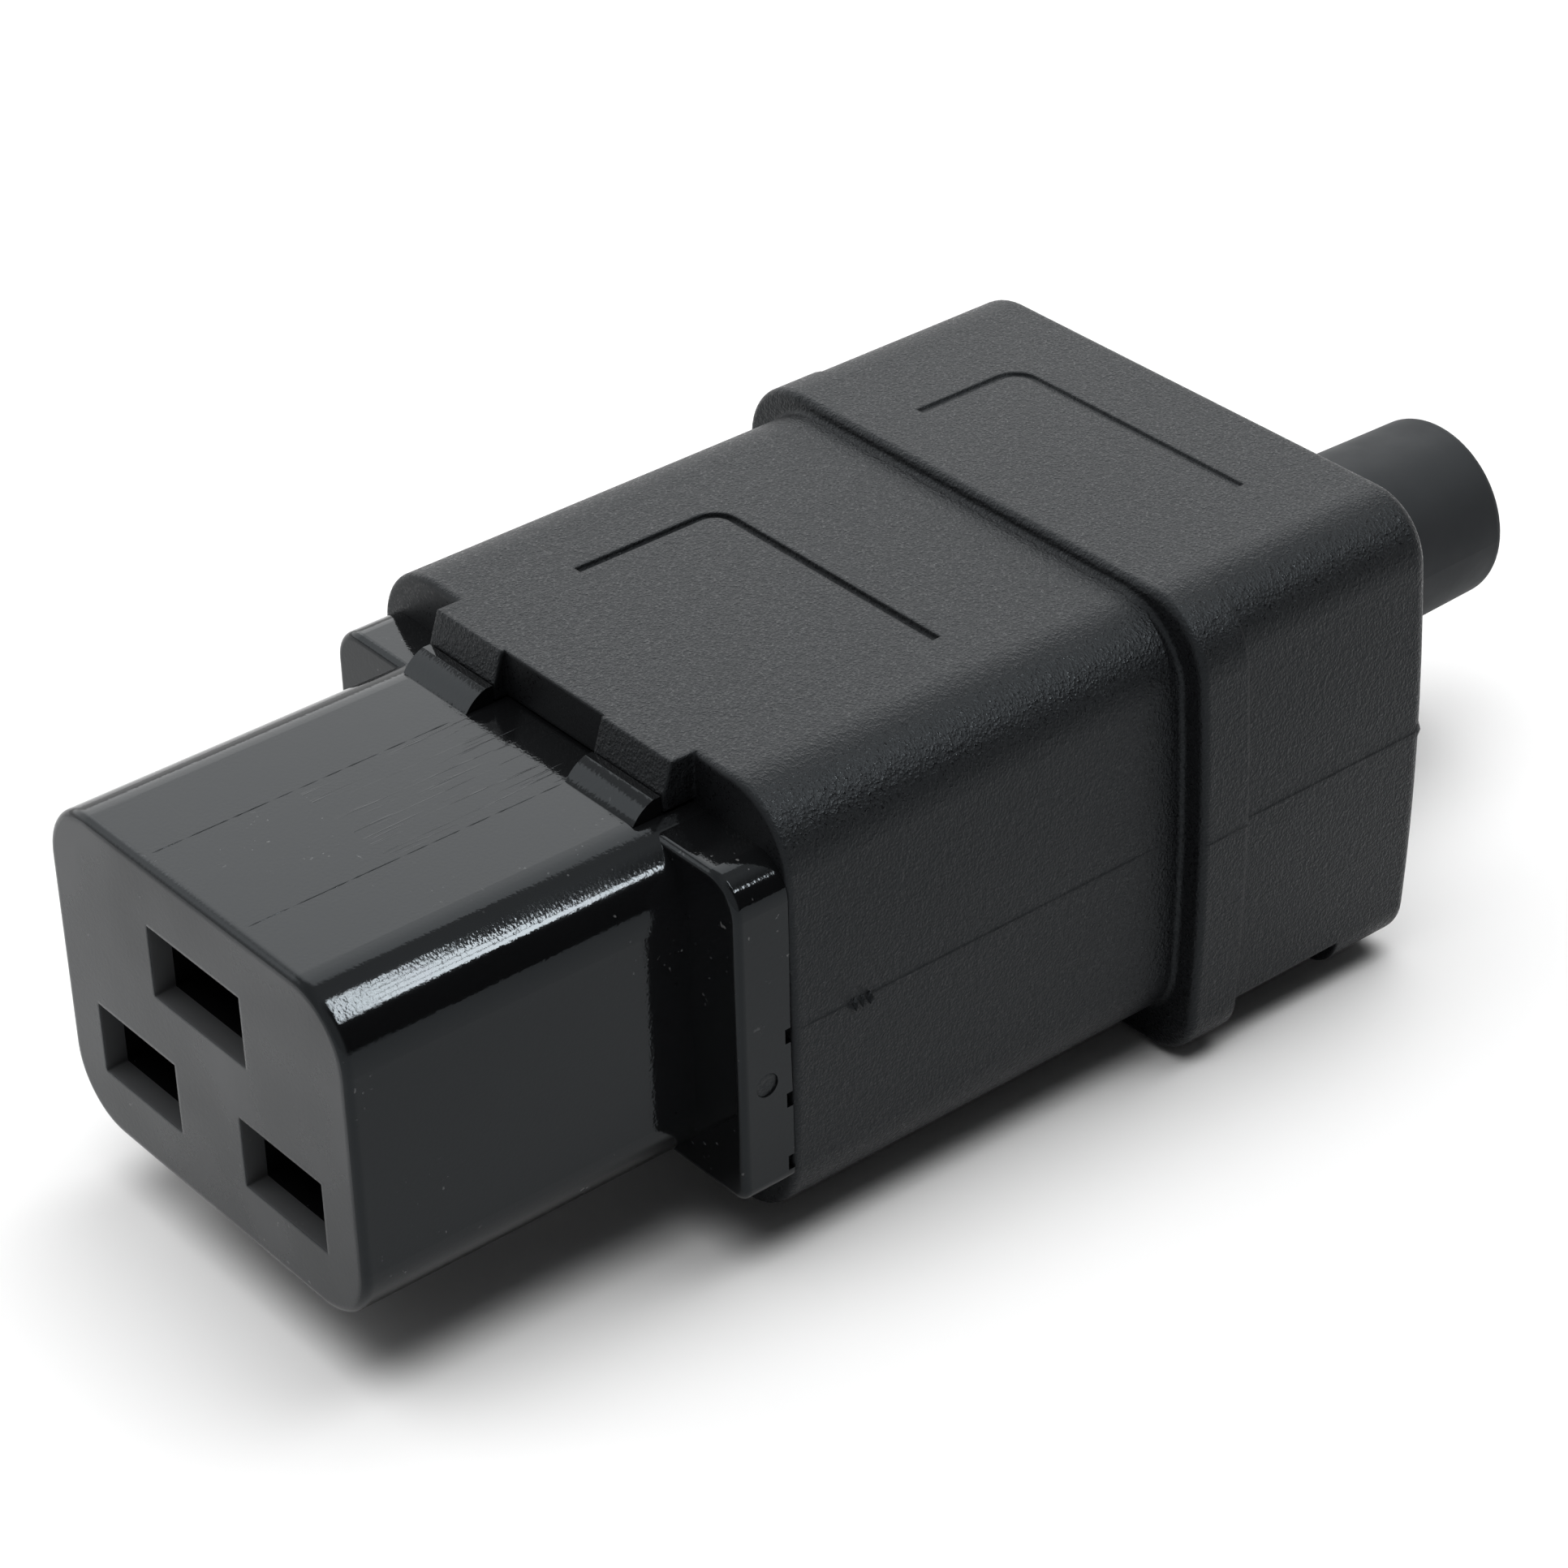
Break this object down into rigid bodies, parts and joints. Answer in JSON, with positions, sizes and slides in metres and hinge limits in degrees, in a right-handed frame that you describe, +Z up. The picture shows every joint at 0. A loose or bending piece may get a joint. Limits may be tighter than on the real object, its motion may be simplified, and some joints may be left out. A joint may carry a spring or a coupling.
{
  "type": "rewireable appliance coupler connector",
  "caption": "Straight rewireable power connector: a glossy slotted nose with a flange, a matte moulded shell with a raised rim, and a plain cable sleeve at the back.",
  "frame": {"origin": "on the middle plane, half way along the connector, at the level of the underside of the rim", "axes": "-Y out of the nose, +Y out of the cable sleeve, +Z up through the earth slot"},
  "size_m": [0.0382, 0.089, 0.0289],
  "materials": {
    "shell": "fine spark texture",
    "carrier": "polished mould",
    "sleeve": "smooth, matte",
    "holder": "plain moulding",
    "spring_brass": "rolled strip",
    "brass": "turned",
    "steel": "zinc plated"
  },
  "bodies": {
    "root": {"outer_shell": "shell", "contact_carrier": "carrier", "cable_sleeve": "sleeve", "rear_holder": "holder", "cord_clamp_bar": "holder", "shell_screw": "steel", "shell_nut": "steel", "line_contact": "spring_brass", "line_terminal": "brass", "line_terminal_screw": "steel", "neutral_contact": "spring_brass", "neutral_terminal": "brass", "neutral_terminal_screw": "steel", "earth_contact": "spring_brass", "earth_terminal": "brass", "earth_terminal_screw": "steel", "left_holder_screw": "steel", "left_clamp_screw": "steel", "right_holder_screw": "steel", "right_clamp_screw": "steel"}
  },
  "joints": []
}
